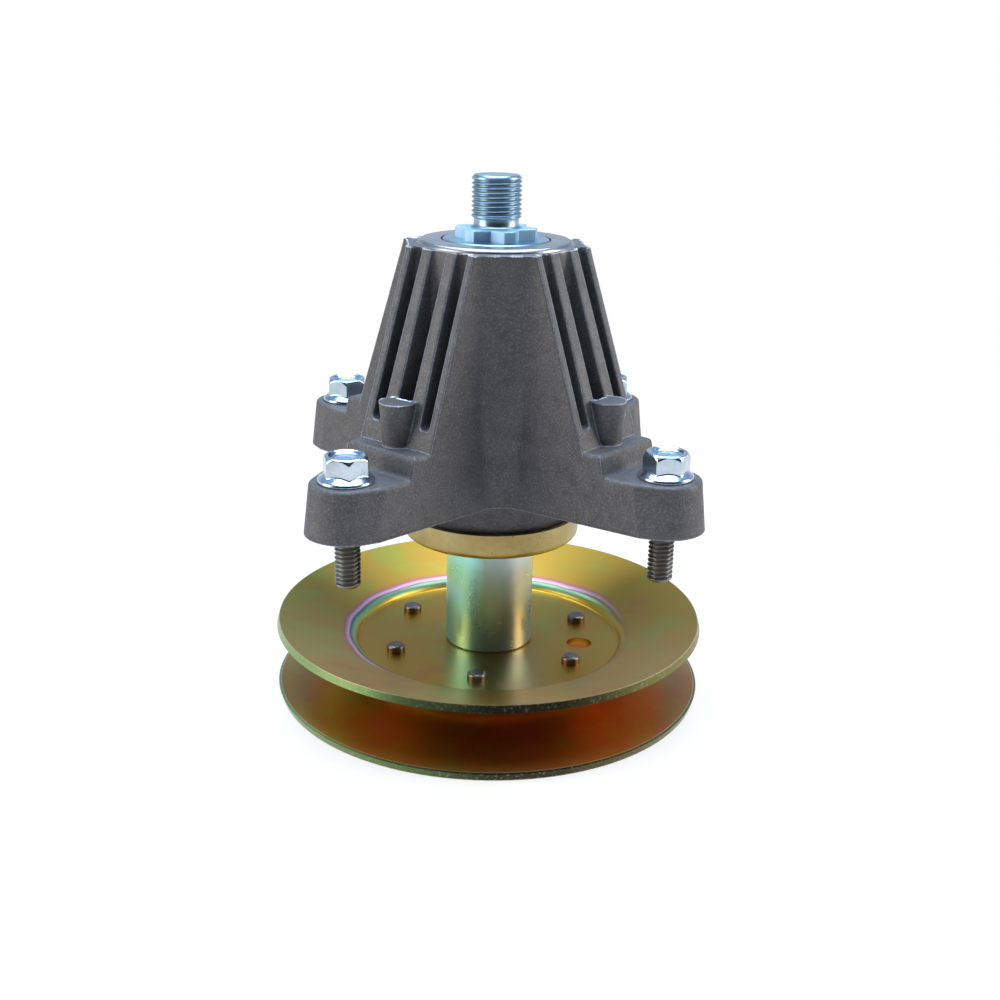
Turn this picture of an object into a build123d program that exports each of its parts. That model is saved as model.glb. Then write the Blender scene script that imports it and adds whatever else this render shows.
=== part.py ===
from build123d import *
import math
import os

# Mower deck spindle, in millimetres. The origin is on the shaft's axis, in the plane of the
# pulley's lower rim. +Z points up to the blade end. The housing's arms lie on the diagonals.

# Fits, and how far a cutting shape runs past the face it opens
fit_gap = 0.02
slide_gap = 0.05
race_gap = 0.15
past = 1.0

# Threads, as plain cylinders of the outside diameter
blade_thread_dia = 15.875
bolt_dia = 7.94
thread_chamfer = 0.9

# Pulley: two pressed discs back to back
sheet = 2.5
pulley_width = 25.5
rim_radius = 72.0
groove_half_angle = 17.0
web_radius = 45.6
step_run = 1.7
web_bend = 2.5
flange_bend = 3.5
rivet_count = 6
rivet_dia = 6.2
rivet_proud = 2.6
rivet_circle = 34.3
rivet_phase = 18.0
rivet_rounding = 1.1
locating_hole_dia = 8.6
locating_hole_circle = 31.8
locating_hole_angle = -14.7

# Dust cup
cup_sheet = 1.5
cup_floor = 54.7
cup_top = 63.2
cup_radius = 29.5
cup_flare = 0.3
cup_pad_rise = 2.0
cup_pad_margin = 1.15
cup_step_run = 0.7
cup_bend = 1.5
tightest_bend = 0.1

# Spacer sleeve
sleeve_dia = 29.6
sleeve_chamfer = 0.5

# Ball bearings, 20 x 47 x 14
bearing_bore = 20.0
bearing_od = 47.0
bearing_width = 14.0
ball_dia = 7.938
ball_count = 8
inner_land_radius = 14.3
outer_land_radius = 19.2
seal_seat_radius = 20.35
seal_recess = 0.5
seal_thickness = 0.8
seal_gap = 0.3
ring_rounding = 0.8
cage_sheet = 0.9
cage_clearance = 0.6
bearing_clear_run = 63.1

# Blade-side shield ring
shield_sheet = 1.4
shield_radius = 24.94
shield_hole_radius = 17.5
shield_proud = 1.3
shield_depth = 4.5
shield_bend = 0.9
shield_floor_gap = 0.5

# Shaft
shoulder_radius = 17.0
shoulder_step_radius = 12.9
shoulder_step_height = 0.5
shoulder_height = 3.2
star_points = 6
star_radius = 13.0
star_valley_radius = 9.4
star_tip_width = 3.8
star_height = 3.5
star_phase = 44.0
neck_dia = 14.3
neck_height = 3.4
neck_fillet = 1.2
neck_cone = 0.6
blade_thread_length = 12.8
drive_dia = 18.8
drive_flats = 16.2
drive_inset = 0.8
spacer_radius = 13.0

# Pulley nut
nut_flats = 23.8
nut_height = 9.0
nut_angle = 15.0
nut_chamfer_slope = 0.6
shaft_stand_back = 0.6

# Housing: levels
deck_face = 72.3
ear_top = 88.3
ledge_top = 94.7
gap_floor = 100.5
housing_top = 151.5
snout_end = 57.7
snout_radius = 27.2
snout_chamfer = 1.2
shaft_room_radius = 20.5

# Housing: plan
bolt_half_pitch = 48.0
ear_radius = 12.9
ear_top_radius = 11.1
ear_facet_angle = 22.0
ear_wedge_length = 47.5
arm_half_width = 13.8
arm_converge = 0.095
arm_draft = 0.0507
flat_half_width = 29.0
flat_draft = 0.0126
valley_radius = 6.0
ledge_reach = 53.1
riser_slope = 0.23
limit_half_width = 24.0
bolt_hole_clearance = 0.1

# Housing: fins and bosses
end_face_top = 27.0
end_face_slope = 0.35
fin_shift = 4.2
fin_angle = 1.6
fin_thickness = 3.6
fin_draft = 0.014
wall_thickness = 2.2
wall_draft = 0.01
barrel_radius_top = 26.3
barrel_draft = 0.028
side_gap_facing = 20.0
gap_corner_radius = 1.2
boss_distance = 45.8
boss_top_radius = 5.6
boss_foot_radius = 4.6
boss_height = 13.5
edge_rounding = 1.2

# Housing: pockets under the arms
pocket_wall = 3.8
pocket_rib = 3.0
pocket_start = 33.0
pocket_end = 54.0
pocket_roof = 84.5
pocket_draft = 0.04
pocket_rounding = 2.0

# Mounting bolts
bolt_shank_dia = 7.1
bolt_flange_dia = 17.2
bolt_flange_edge = 1.1
bolt_flange_bevel = 0.4
bolt_head_flats = 12.7
bolt_head_height = 8.1
bolt_flange_cone = 2.7
bolt_end = 55.0
bolt_dish_depth = 1.0
bolt_dish_rim = 1.1
bolt_dish_slope = 0.8
bolt_crown_drop = 1.4
bolt_crown_inset = 0.3
bolt_head_angles = (50.0, 58.0, 8.0, 25.0)

# Derived levels
web_mid = pulley_width / 2
web_top = web_mid + sheet
web_bottom = web_mid - sheet
pad_top = cup_floor + cup_sheet + cup_pad_rise
low_bearing_top = pad_top + bearing_width
high_bearing_bottom = low_bearing_top + bearing_clear_run
high_bearing_top = high_bearing_bottom + bearing_width
shoulder_bottom = high_bearing_top + shoulder_step_height
shoulder_top = shoulder_bottom + shoulder_height
star_top = shoulder_top + star_height
thread_start = star_top + neck_height
shaft_top = thread_start + blade_thread_length
bolt_distance = bolt_half_pitch * math.sqrt(2)
arm_angles = (45, 135, 225, 315)


def tube(outer, inner, low, high):
    """Plain tube on the axis between two levels."""
    ring = Circle(outer) - Circle(inner)
    return extrude(Plane.XY.offset(low) * ring, high - low)


def disc(radius, low, high):
    """Plain disc on the axis between two levels."""
    return extrude(Plane.XY.offset(low) * Circle(radius), high - low)


def turned(points):
    """Solid of revolution about the axis from (radius, level) points."""
    outline = Polyline(*[(r, 0, z) for r, z in points], close=True)
    return revolve(make_face(outline), Axis.Z)


def offset_corners(points, distance):
    """The corners of a line that runs beside a bent line, at a distance to its left."""
    steps = [(Vector(b) - Vector(a)).normalized() for a, b in zip(points, points[1:])]
    sides = [Vector(-s.Y, s.X) for s in steps]
    corners = [Vector(points[0]) + sides[0] * distance]
    for point, one, two in zip(points[1:-1], sides, sides[1:]):
        corners.append(Vector(point) + (one + two) * (distance / (1 + one.dot(two))))
    corners.append(Vector(points[-1]) + sides[-1] * distance)
    return corners


def pressed_sheet(points, bends, thickness):
    """Revolved sheet metal: a midline of (radius, level) corners with bend radii."""
    steps = [Vector(b) - Vector(a) for a, b in zip(points, points[1:])]
    turns = [one.X * two.Y - one.Y * two.X for one, two in zip(steps, steps[1:])]
    half = thickness / 2
    left_bends = [b - math.copysign(half, t) for b, t in zip(bends, turns)]
    right_bends = [b + math.copysign(half, t) for b, t in zip(bends, turns)]
    left = FilletPolyline(*offset_corners(points, half), radius=left_bends)
    right = FilletPolyline(*offset_corners(points, -half), radius=right_bends)
    ends = [Line(left @ 0, right @ 0), Line(left @ 1, right @ 1)]
    section = make_face(left.edges() + right.edges() + ends)
    return revolve(Plane.XZ * section, Axis.Z)


def hexagon(flats, low, high, angle=0):
    """Hexagonal prism on the axis."""
    outline = RegularPolygon(flats / 2, 6, major_radius=False, rotation=angle)
    return extrude(Plane.XY.offset(low) * outline, high - low)


def drive_shape(gap):
    """Double-D outline of the pulley's seat on the shaft."""
    return Circle(drive_dia / 2 + gap) & Rectangle(2 * drive_dia, drive_flats + 2 * gap)


# Pulley
def pulley_upper_disc():
    """Pressed disc: web, rounded step up, sloped flange with a square-cut rim."""
    slope = math.radians(groove_half_angle)
    rim_r = rim_radius + sheet / 2 * math.sin(slope)
    rim_z = pulley_width - sheet / 2 * math.cos(slope)
    web_z = web_mid + sheet / 2
    step_r = web_radius + step_run
    step_z = rim_z - (rim_r - step_r) * math.tan(slope)
    midline = [(0, web_z), (web_radius, web_z), (step_r, step_z), (rim_r, rim_z)]
    plate = pressed_sheet(midline, [web_bend, flange_bend], sheet)
    level = Plane.XY.offset(web_mid - past)
    depth = sheet + 2 * past
    plate -= extrude(level * drive_shape(slide_gap), depth)
    for x, y in rivet_places():
        hole = Circle(rivet_dia / 2 + fit_gap)
        plate -= extrude(level * Pos(x, y) * hole, depth)
    x, y = polar(locating_hole_circle, locating_hole_angle)
    plate -= extrude(level * Pos(x, y) * Circle(locating_hole_dia / 2), depth)
    return plate


def pulley_lower_disc():
    """The upper disc's mirror image, back to back with it."""
    return mirror(pulley_upper_disc(), Plane.XY.offset(web_mid))


def polar(radius, degrees):
    """Plan position from a radius and an angle."""
    angle = math.radians(degrees)
    return radius * math.cos(angle), radius * math.sin(angle)


def rivet_places():
    """Plan positions of the rivets."""
    step = 360 / rivet_count
    return [polar(rivet_circle, rivet_phase + i * step) for i in range(rivet_count)]


def pulley_rivets():
    """Straight pins through both webs, with rounded ends standing proud."""
    low = web_bottom - rivet_proud
    pin = disc(rivet_dia / 2, low, web_top + rivet_proud)
    pin = fillet(pin.edges().filter_by(GeomType.CIRCLE), rivet_rounding)
    return Compound([Pos(x, y) * pin for x, y in rivet_places()])


# Parts that turn with the shaft
def dust_cup():
    """Pressed cup: raised pad, flat floor, slightly flared wall."""
    half = cup_sheet / 2
    pad_z = pad_top - half
    floor_z = cup_floor + half
    pad_edge = sleeve_dia / 2 + cup_pad_margin
    wall = cup_radius - half
    midline = [(bearing_bore / 2 + slide_gap, pad_z), (pad_edge, pad_z),
               (pad_edge + cup_step_run, floor_z),
               (wall, floor_z), (wall + cup_flare, cup_top)]
    tight = half + tightest_bend
    return pressed_sheet(midline, [tight, tight, cup_bend], cup_sheet)


def spacer_sleeve():
    """Turned tube that holds the cup against the bearing."""
    sleeve = tube(sleeve_dia / 2, bearing_bore / 2 + slide_gap, web_top, pad_top - cup_sheet)
    return chamfer(sleeve.edges().filter_by(GeomType.CIRCLE), sleeve_chamfer)


def bearing_spacer():
    """Tube between the two inner rings."""
    inner = bearing_bore / 2 + slide_gap
    spacer = tube(spacer_radius, inner, low_bearing_top, high_bearing_bottom)
    return chamfer(spacer.edges().filter_by(GeomType.CIRCLE), sleeve_chamfer)


def star_outline():
    """Six blunt points with straight flanks."""
    half = star_tip_width / 2
    points = []
    for i in range(star_points):
        tip = star_phase + i * 360 / star_points
        spread = math.degrees(math.asin(half / star_radius))
        points.append(polar(star_radius, tip - spread))
        points.append(polar(star_radius, tip + spread))
        points.append(polar(star_valley_radius, tip + 180 / star_points))
    return make_face(Polyline(*points, close=True))


def shaft():
    """Turned shaft with a star drive, a shoulder, a journal and a double-D end."""
    thread = blade_thread_dia / 2
    journal = bearing_bore / 2 - fit_gap
    step = web_top + drive_inset
    neck = neck_dia / 2
    blade_end = turned([
        (0, high_bearing_top), (shoulder_step_radius, high_bearing_top),
        (shoulder_step_radius, shoulder_bottom), (shoulder_radius, shoulder_bottom),
        (shoulder_radius, shoulder_top), (neck, shoulder_top), (neck, thread_start - neck_cone),
        (thread, thread_start), (thread, shaft_top - thread_chamfer),
        (thread - thread_chamfer, shaft_top), (0, shaft_top)])
    star = extrude(Plane.XY.offset(shoulder_top) * star_outline(), star_height)
    blade_end += star
    root = blade_end.edges().filter_by_position(Axis.Z, star_top - 0.01, star_top + 0.01)
    blade_end = fillet(root.filter_by(GeomType.CIRCLE), neck_fillet)
    journal_part = disc(journal, step, high_bearing_top)
    drive = extrude(Plane.XY.offset(web_bottom + drive_inset / 2) * drive_shape(0),
                    step - web_bottom - drive_inset / 2)
    pulley_end = turned([
        (0, shaft_stand_back), (thread - thread_chamfer, shaft_stand_back),
        (thread, shaft_stand_back + thread_chamfer), (thread, step), (0, step)])
    return blade_end + journal_part + drive + pulley_end


def pulley_nut():
    """Thin hexagon nut under the lower disc."""
    low = web_bottom - nut_height
    nut = hexagon(nut_flats, low, web_bottom, nut_angle)
    flats = nut_flats / 2
    outside = flats / math.cos(math.pi / 6) + past
    drop = (outside - flats) * nut_chamfer_slope
    cone = turned([(0, low), (flats, low), (outside, low + drop), (outside, web_bottom),
                   (0, web_bottom)])
    return (nut & cone) - disc(blade_thread_dia / 2 + fit_gap, low - past, web_bottom + past)


# Ball bearing, built round the origin and lifted to its place
def race(radius):
    """Torus that both rings are grooved with."""
    return Torus(radius, ball_dia / 2 + race_gap)


def pitch_radius():
    """Radius of the circle that the balls' centres run on."""
    return (inner_land_radius + outer_land_radius) / 2


def outer_ring():
    """Outer ring with a ball groove and a seat for each seal."""
    half = bearing_width / 2
    seat = half - seal_recess - seal_thickness
    outside = bearing_od / 2
    edge = ring_rounding
    body = turned([
        (outer_land_radius, -seat), (seal_seat_radius, -seat), (seal_seat_radius, -half),
        (outside - edge, -half), (outside, edge - half), (outside, half - edge),
        (outside - edge, half), (seal_seat_radius, half), (seal_seat_radius, seat),
        (outer_land_radius, seat)])
    return body - race(pitch_radius())


def inner_ring():
    """Inner ring with a ball groove."""
    half = bearing_width / 2
    body = tube(inner_land_radius, bearing_bore / 2, -half, half)
    inside = body.edges().filter_by(GeomType.CIRCLE).sort_by(SortBy.RADIUS)[:2]
    body = chamfer(inside, ring_rounding / 2)
    return body - race(pitch_radius())


def ball_places():
    """Plan positions of the balls."""
    step = 360 / ball_count
    return [polar(pitch_radius(), i * step) for i in range(ball_count)]


def balls():
    """The set of balls."""
    return Compound([Pos(x, y, 0) * Sphere(ball_dia / 2) for x, y in ball_places()])


def cage():
    """Ribbon cage: flat sheet between the pockets, bulged round each ball."""
    room = ball_dia / 2 + race_gap
    outer = outer_land_radius - cage_clearance
    inner = inner_land_radius + cage_clearance
    band = tube(outer, inner, -ball_dia, ball_dia)
    ribbon = tube(outer, inner, -cage_sheet, cage_sheet)
    lay = Rot(0, 90, 0)
    for i in range(ball_count):
        place = Rot(0, 0, i * 360 / ball_count) * Pos(pitch_radius(), 0, 0) * lay
        ribbon += band & (place * Cylinder(room + cage_sheet, ball_dia))
    for i in range(ball_count):
        place = Rot(0, 0, i * 360 / ball_count) * Pos(pitch_radius(), 0, 0) * lay
        ribbon -= place * Cylinder(room, ball_dia)
    return ribbon


def seal(side):
    """Flat shield in the outer ring's recess. side is 1 above, -1 below."""
    outer = bearing_width / 2 - seal_recess
    inner = outer - seal_thickness
    low, high = sorted((side * inner, side * outer))
    return tube(seal_seat_radius - fit_gap, inner_land_radius + seal_gap, low, high)


# Housing
def arm_half(distance, level):
    """Half width of an arm at a distance along the diagonal and a level."""
    width = arm_half_width + arm_converge * (bolt_distance - distance)
    return width - arm_draft * (level - deck_face)


def end_face(level):
    """Distance from the axis to the flat end of the fins and walls at a level."""
    return end_face_top + end_face_slope * (housing_top - level)


def barrel(level):
    """Radius of the barrel between the fins at a level."""
    return barrel_radius_top + barrel_draft * (housing_top - level)


def drafted(corners, low, high):
    """Solid with flat walls between the corners of a plan at two levels."""
    floor = [Vector(x, y, low) for x, y in corners(low)]
    roof = [Vector(x, y, high) for x, y in corners(high)]
    rings = [floor[::-1], roof]
    for i, corner in enumerate(floor):
        j = (i + 1) % len(floor)
        rings.append([corner, floor[j], roof[j], roof[i]])
    return Solid(Shell([Face(Wire.make_polygon(ring, close=True)) for ring in rings]))


def arm_corners(level):
    """An arm's plan, as a long wedge along +X."""
    end = bolt_distance + 2 * ear_radius
    near, far = arm_half(0, level), arm_half(end, level)
    return [(0, -near), (end, -far), (end, far), (0, near)]


def core_corners(level):
    """The plan of the flat faces between the arms."""
    side = flat_half_width - flat_draft * (level - deck_face)
    return [(side, side), (-side, side), (-side, -side), (side, -side)]


def ear_outline(level):
    """An ear's rounded end with a flat facet on each side, along +X."""
    share = (level - deck_face) / (ear_top - deck_face)
    radius = ear_radius + share * (ear_top_radius - ear_radius)
    turn = math.radians(90 - ear_facet_angle)
    touch = Vector(bolt_distance + radius * math.cos(turn), radius * math.sin(turn))
    back = touch + Vector(-math.sin(turn), math.cos(turn)) * ear_wedge_length
    upper = Line(back, touch)
    lower = Line((touch.X, -touch.Y), (back.X, -back.Y))
    tip = ThreePointArc(touch, (bolt_distance + radius, 0), (touch.X, -touch.Y))
    close = Line((back.X, -back.Y), back)
    return Curve() + [upper, tip, lower, close]


def arm_limit():
    """What bounds an arm from the side: sloped end face, ledge with its riser, and the ear."""
    foot = ledge_reach + riser_slope * (ledge_top - ear_top)
    side = Polyline((0, deck_face), (foot, deck_face), (foot, ear_top), (ledge_reach, ledge_top),
                    (end_face(ledge_top), ledge_top), (end_face(housing_top), housing_top),
                    (0, housing_top), close=True)
    ledge = extrude(Plane.XZ * make_face(side), limit_half_width, both=True)
    ear = loft([Plane.XY.offset(z) * make_face(ear_outline(z)) for z in (deck_face, ear_top)],
               ruled=True)
    return ledge + ear


def reach(edge):
    """An edge's middle, as its distance from the axis."""
    return math.hypot(edge.center().X, edge.center().Y)


def edges_at(body, level):
    """The edges that lie at a level."""
    return body.edges().filter_by_position(Axis.Z, level - 0.01, level + 0.01)


def star_casting():
    """Barrel faces and four arms up to the top, cut to the end faces, ledges and ears."""
    body = drafted(core_corners, deck_face, housing_top)
    arm = drafted(arm_corners, deck_face, housing_top)
    for angle in arm_angles:
        body += Rot(0, 0, angle) * arm
    upright = body.edges().filter_by(lambda e: abs(e.tangent_at(0.5).Z) > 0.9)
    body = fillet(upright.filter_by(lambda e: reach(e) < flat_half_width + valley_radius),
                  valley_radius)
    side = arm_limit()
    limit = Rot(0, 0, arm_angles[0]) * side
    for angle in arm_angles[1:]:
        limit += Rot(0, 0, angle) * side
    body &= limit
    beyond = end_face(ledge_top) + past
    ledges = edges_at(body, ledge_top).filter_by(lambda e: reach(e) > beyond)
    return fillet(ledges + edges_at(body, ear_top), edge_rounding)


def fin_side(sign, level):
    """A fin's flank as a shift and a slope. Sign 1 is the flank away from the diagonal."""
    half = fin_thickness / 2 + fin_draft * (housing_top - level)
    return fin_shift + sign * half, math.tan(math.radians(fin_angle))


def gap_tool(facing, flanks):
    """Block that opens one gap between two fins, from its floor up through the top.

    facing is the gap's direction from the diagonal. flanks gives, at a level, the shift and
    slope of the lines that bound it on its two sides."""
    def corners(level):
        far = end_face(level) + past
        found = []
        for shift, slope in flanks(level):
            start = (barrel(level) - shift * math.sin(facing)) / (
                math.cos(facing) + slope * math.sin(facing))
            found += [(start, shift + slope * start), (far, shift + slope * far)]
        return [found[0], found[1], found[3], found[2]]
    block = drafted(corners, gap_floor, housing_top + past)
    edges = block.edges().filter_by(lambda e: e.center().Z < housing_top)
    inner_limit = barrel(gap_floor) + past
    inner = edges.filter_by(lambda e: e.center().X < inner_limit)
    floor = edges_at(block, gap_floor)
    floor = floor.filter_by(lambda e: inner_limit < e.center().X < end_face(gap_floor))
    return fillet(inner + floor, gap_corner_radius)


def gap_tools():
    """The three gaps of one corner, along +X."""
    def middle(level):
        shift, slope = fin_side(-1, level)
        return [(-shift, -slope), (shift, slope)]

    def side(level):
        wall = arm_half(0, level) - wall_thickness - wall_draft * (housing_top - level)
        return [fin_side(1, level), (wall, -arm_converge)]

    beside = gap_tool(math.radians(side_gap_facing), side)
    return [gap_tool(0, middle), beside, mirror(beside, Plane.XZ)]


def boss():
    """Ejector boss on the ledge, wider at its top."""
    top = ledge_top + boss_height
    post = turned([(0, ledge_top - past), (boss_foot_radius, ledge_top - past),
                   (boss_foot_radius, ledge_top), (boss_top_radius, top), (0, top)])
    return Pos(boss_distance, 0, 0) * post


def pockets():
    """The two pockets under an arm, with a rib between them, along +X."""
    def corners(level):
        shrink = pocket_draft * (level - deck_face)
        low = pocket_rib / 2 + shrink
        start, end = pocket_start + shrink, pocket_end - shrink
        near = arm_half(start, level) - pocket_wall - shrink
        far = arm_half(end, level) - pocket_wall - shrink
        return [(start, low), (end, low), (end, far), (start, near)]
    block = drafted(corners, deck_face - past, pocket_roof)
    block = fillet(block.edges().filter_by(lambda e: e.center().Z > deck_face), pocket_rounding)
    return [block, mirror(block, Plane.XZ)]


def housing():
    """The die casting with its bores, gaps, bosses, pockets and bolt holes."""
    body = star_casting()
    body += disc(snout_radius, snout_end, deck_face + past)
    body = chamfer(edges_at(body, snout_end), snout_chamfer)
    tools = gap_tools() + pockets()
    hole = disc(bolt_dia / 2 + bolt_hole_clearance, deck_face - past, ear_top + past)
    tools.append(Pos(bolt_distance, 0, 0) * hole)
    post = boss()
    for angle in arm_angles:
        turn = Rot(0, 0, angle)
        body += turn * post
        for tool in tools:
            body -= turn * tool
    seat = bearing_od / 2 + fit_gap
    body -= disc(seat, snout_end - past, low_bearing_top)
    body -= disc(shaft_room_radius, snout_end, housing_top)
    body -= disc(seat, high_bearing_bottom, housing_top + past)
    shield_floor = housing_top - shield_depth - shield_floor_gap
    body -= disc(shield_radius + fit_gap, shield_floor, housing_top + past)
    return body


def blade_shield_ring():
    """Pressed ring with a skirt round the blade-side bearing."""
    half = shield_sheet / 2
    top = housing_top + shield_proud - half
    side = shield_radius - half
    midline = [(shield_hole_radius, top), (side, top), (side, housing_top - shield_depth)]
    return pressed_sheet(midline, [shield_bend], shield_sheet)


# Mounting bolts
def flange_bolt(angle):
    """Hexagon flange bolt on the axis, head up on the ear's top."""
    flange = bolt_flange_dia / 2
    seat = ear_top
    head_top = seat + bolt_head_height
    flats = bolt_head_flats / 2
    corner = flats / math.cos(math.pi / 6) + fit_gap
    lip = flange - bolt_flange_bevel
    base = turned([(0, seat), (lip, seat), (flange, seat + bolt_flange_edge / 2),
                   (lip, seat + bolt_flange_edge), (flats, seat + bolt_flange_cone),
                   (0, seat + bolt_flange_cone)])
    prism = hexagon(bolt_head_flats, seat + bolt_flange_edge, head_top, angle)
    crown = turned([(0, seat), (corner, seat), (corner, head_top - bolt_crown_drop),
                    (flats - bolt_crown_inset, head_top), (0, head_top)])
    dish_r = flats - bolt_dish_rim
    dish_floor = head_top - bolt_dish_depth
    dish = turned([(0, dish_floor), (dish_r - bolt_dish_slope, dish_floor), (dish_r, head_top),
                   (0, head_top)])
    shank, thread = bolt_shank_dia / 2, bolt_dia / 2
    pin = turned([(0, bolt_end), (thread - thread_chamfer, bolt_end),
                  (thread, bolt_end + thread_chamfer), (thread, deck_face), (shank, deck_face),
                  (shank, seat), (0, seat)])
    return base + (prism & crown) - dish + pin


def mounting_bolts():
    """Four bolts through the ears."""
    bolts = []
    for angle, turn in zip(arm_angles, bolt_head_angles):
        x, y = polar(bolt_distance, angle)
        bolts.append(Pos(x, y, 0) * flange_bolt(turn))
    return Compound(bolts)


def export(name, shape):
    """Write one node's STEP file."""
    export_step(shape, "parts/" + name + ".step")


os.makedirs("parts", exist_ok=True)

export("housing", housing())
export("blade_shield_ring", blade_shield_ring())
export("mounting_bolts", mounting_bolts())
export("shaft", shaft())
export("dust_cup", dust_cup())
export("spacer_sleeve", spacer_sleeve())
export("bearing_spacer", bearing_spacer())
export("pulley_upper_disc", pulley_upper_disc())
export("pulley_lower_disc", pulley_lower_disc())
export("pulley_rivets", pulley_rivets())
export("pulley_nut", pulley_nut())

for place, middle in (("pulley", pad_top + bearing_width / 2),
                      ("blade", high_bearing_bottom + bearing_width / 2)):
    lift = Pos(0, 0, middle)
    export(place + "_bearing_outer_ring", lift * outer_ring())
    export(place + "_bearing_inner_ring", lift * inner_ring())
    export(place + "_bearing_balls", lift * balls())
    export(place + "_bearing_cage", lift * cage())
    export(place + "_bearing_upper_seal", lift * seal(1))
    export(place + "_bearing_lower_seal", lift * seal(-1))
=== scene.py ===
# %% [markdown]
# # A mower deck spindle, dressed in Blender
#
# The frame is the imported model: every solid is already in its true place and size, in metres.
# This file gives each visible solid its finish, and builds anew what needs finer detail than
# the solids hold: the threads, the bolt heads, the shaft's end and the flash of the casting.

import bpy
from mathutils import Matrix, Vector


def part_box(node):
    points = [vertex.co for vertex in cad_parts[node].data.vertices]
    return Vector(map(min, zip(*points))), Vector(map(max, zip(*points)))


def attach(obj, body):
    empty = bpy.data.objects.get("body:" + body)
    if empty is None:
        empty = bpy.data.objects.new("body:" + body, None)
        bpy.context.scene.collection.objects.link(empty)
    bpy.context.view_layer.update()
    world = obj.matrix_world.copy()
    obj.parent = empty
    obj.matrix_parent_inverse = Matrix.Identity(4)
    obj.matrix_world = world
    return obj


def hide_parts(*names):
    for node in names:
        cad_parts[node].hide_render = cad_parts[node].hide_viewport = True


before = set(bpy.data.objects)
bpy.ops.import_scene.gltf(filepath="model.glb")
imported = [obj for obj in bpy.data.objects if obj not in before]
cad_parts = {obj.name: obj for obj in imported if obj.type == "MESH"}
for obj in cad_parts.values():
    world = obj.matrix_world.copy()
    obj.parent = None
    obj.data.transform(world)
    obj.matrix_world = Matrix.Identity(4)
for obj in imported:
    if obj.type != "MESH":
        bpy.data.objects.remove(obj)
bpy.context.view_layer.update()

import functools
import math

import bmesh
import bpy
import numpy as np
from mathutils import Matrix, Vector

MM = 0.001

# %% [markdown]
# ## Camera
#
# The photograph was taken from a little above, close enough for some perspective. The camera is
# given by its place and three angles, found by fitting circles and edges of known size.

# %% Camera
CAMERA_PLACE = Vector((-44.05, -426.26, 211.20)) * MM
CAMERA_PAN = math.radians(6.307)
CAMERA_TILT = 0.3281
CAMERA_ROLL = 0.0214
FOCAL_PIXELS = 1339.24
IMAGE_PIXELS = 1000


def camera_turn(pan, tilt, roll):
    """Rotation of a camera that looks along +Y, turned right by pan, down by tilt, then rolled.
    Its columns are the directions to its right, up and behind it."""
    ahead = Vector((math.sin(pan) * math.cos(tilt), math.cos(pan) * math.cos(tilt), -math.sin(tilt)))
    right = Vector((math.cos(pan), -math.sin(pan), 0))
    up = right.cross(ahead)
    level_right = math.cos(roll) * right + math.sin(roll) * up
    level_up = -math.sin(roll) * right + math.cos(roll) * up
    return Matrix((level_right, level_up, -ahead)).transposed()


lens = bpy.data.cameras.new("camera")
lens.sensor_width = 36
lens.lens = lens.sensor_width * FOCAL_PIXELS / IMAGE_PIXELS
camera = bpy.data.objects.new("camera", lens)
bpy.context.scene.collection.objects.link(camera)
camera.matrix_world = Matrix.Translation(CAMERA_PLACE) @ camera_turn(
    CAMERA_PAN, CAMERA_TILT, CAMERA_ROLL).to_4x4()
bpy.context.scene.camera = camera
print("lens in mm:", round(lens.lens, 2))

# %% [markdown]
# ## Colours and nodes
#
# Colours are written as sRGB hex, the way a paint card gives them, and turned to linear light by
# one function. One function adds any node. Its inputs are plain values, hex colours or other
# nodes' outputs, so a material reads from its pattern down to its shader.


# %% Colour and node helpers
def linear(code):
    """sRGB hex to linear light: a channel up to 0.04045 is divided by 12.92, and any other is
    the 2.4th power of (channel + 0.055) / 1.055."""
    values = np.array([int(code[i:i + 2], 16) for i in (1, 3, 5)]) / 255
    light = np.where(values <= 0.04045, values / 12.92, ((values + 0.055) / 1.055) ** 2.4)
    return (*light.tolist(), 1.0)


def add_node(tree, kind, inputs=None, stops=(), **settings):
    """Adds a node with its settings and links, and gives back its outputs.

    Inputs go by name or number. The stops of a colour ramp are pairs of a place and a hex colour
    or a grey value."""
    made = tree.nodes.new("ShaderNode" + kind)
    for name, value in settings.items():
        setattr(made, name, value)
    for name, value in (inputs or {}).items():
        if isinstance(value, bpy.types.NodeSocket):
            tree.links.new(value, made.inputs[name])
        else:
            made.inputs[name].default_value = linear(value) if isinstance(value, str) else value
    for i, (place, value) in enumerate(stops):
        elements = made.color_ramp.elements
        if i == 0:
            elements.remove(elements[1])
            elements[0].position = place
        element = elements.new(place) if i else elements[0]
        element.color = linear(value) if isinstance(value, str) else (value, value, value, 1)
    return made.outputs


def new_material(name):
    """An empty material, and the function above made ready to fill it."""
    material = bpy.data.materials.new(name)
    material.use_nodes = True
    material.node_tree.nodes.clear()
    return material, functools.partial(add_node, material.node_tree)


def end_as_metal(add, colour, metallic, roughness, bump):
    """The end that all these metals share: a bump from its inputs, the shader and the output."""
    normal = add("Bump", bump)[0]
    shader = add("BsdfPrincipled", {"Base Color": colour, "Metallic": metallic,
                                    "Roughness": roughness, "Normal": normal})
    add("OutputMaterial", {"Surface": shader[0]})


print("mid grey #808080 in linear light:", round(linear("#808080")[0], 3))
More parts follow.
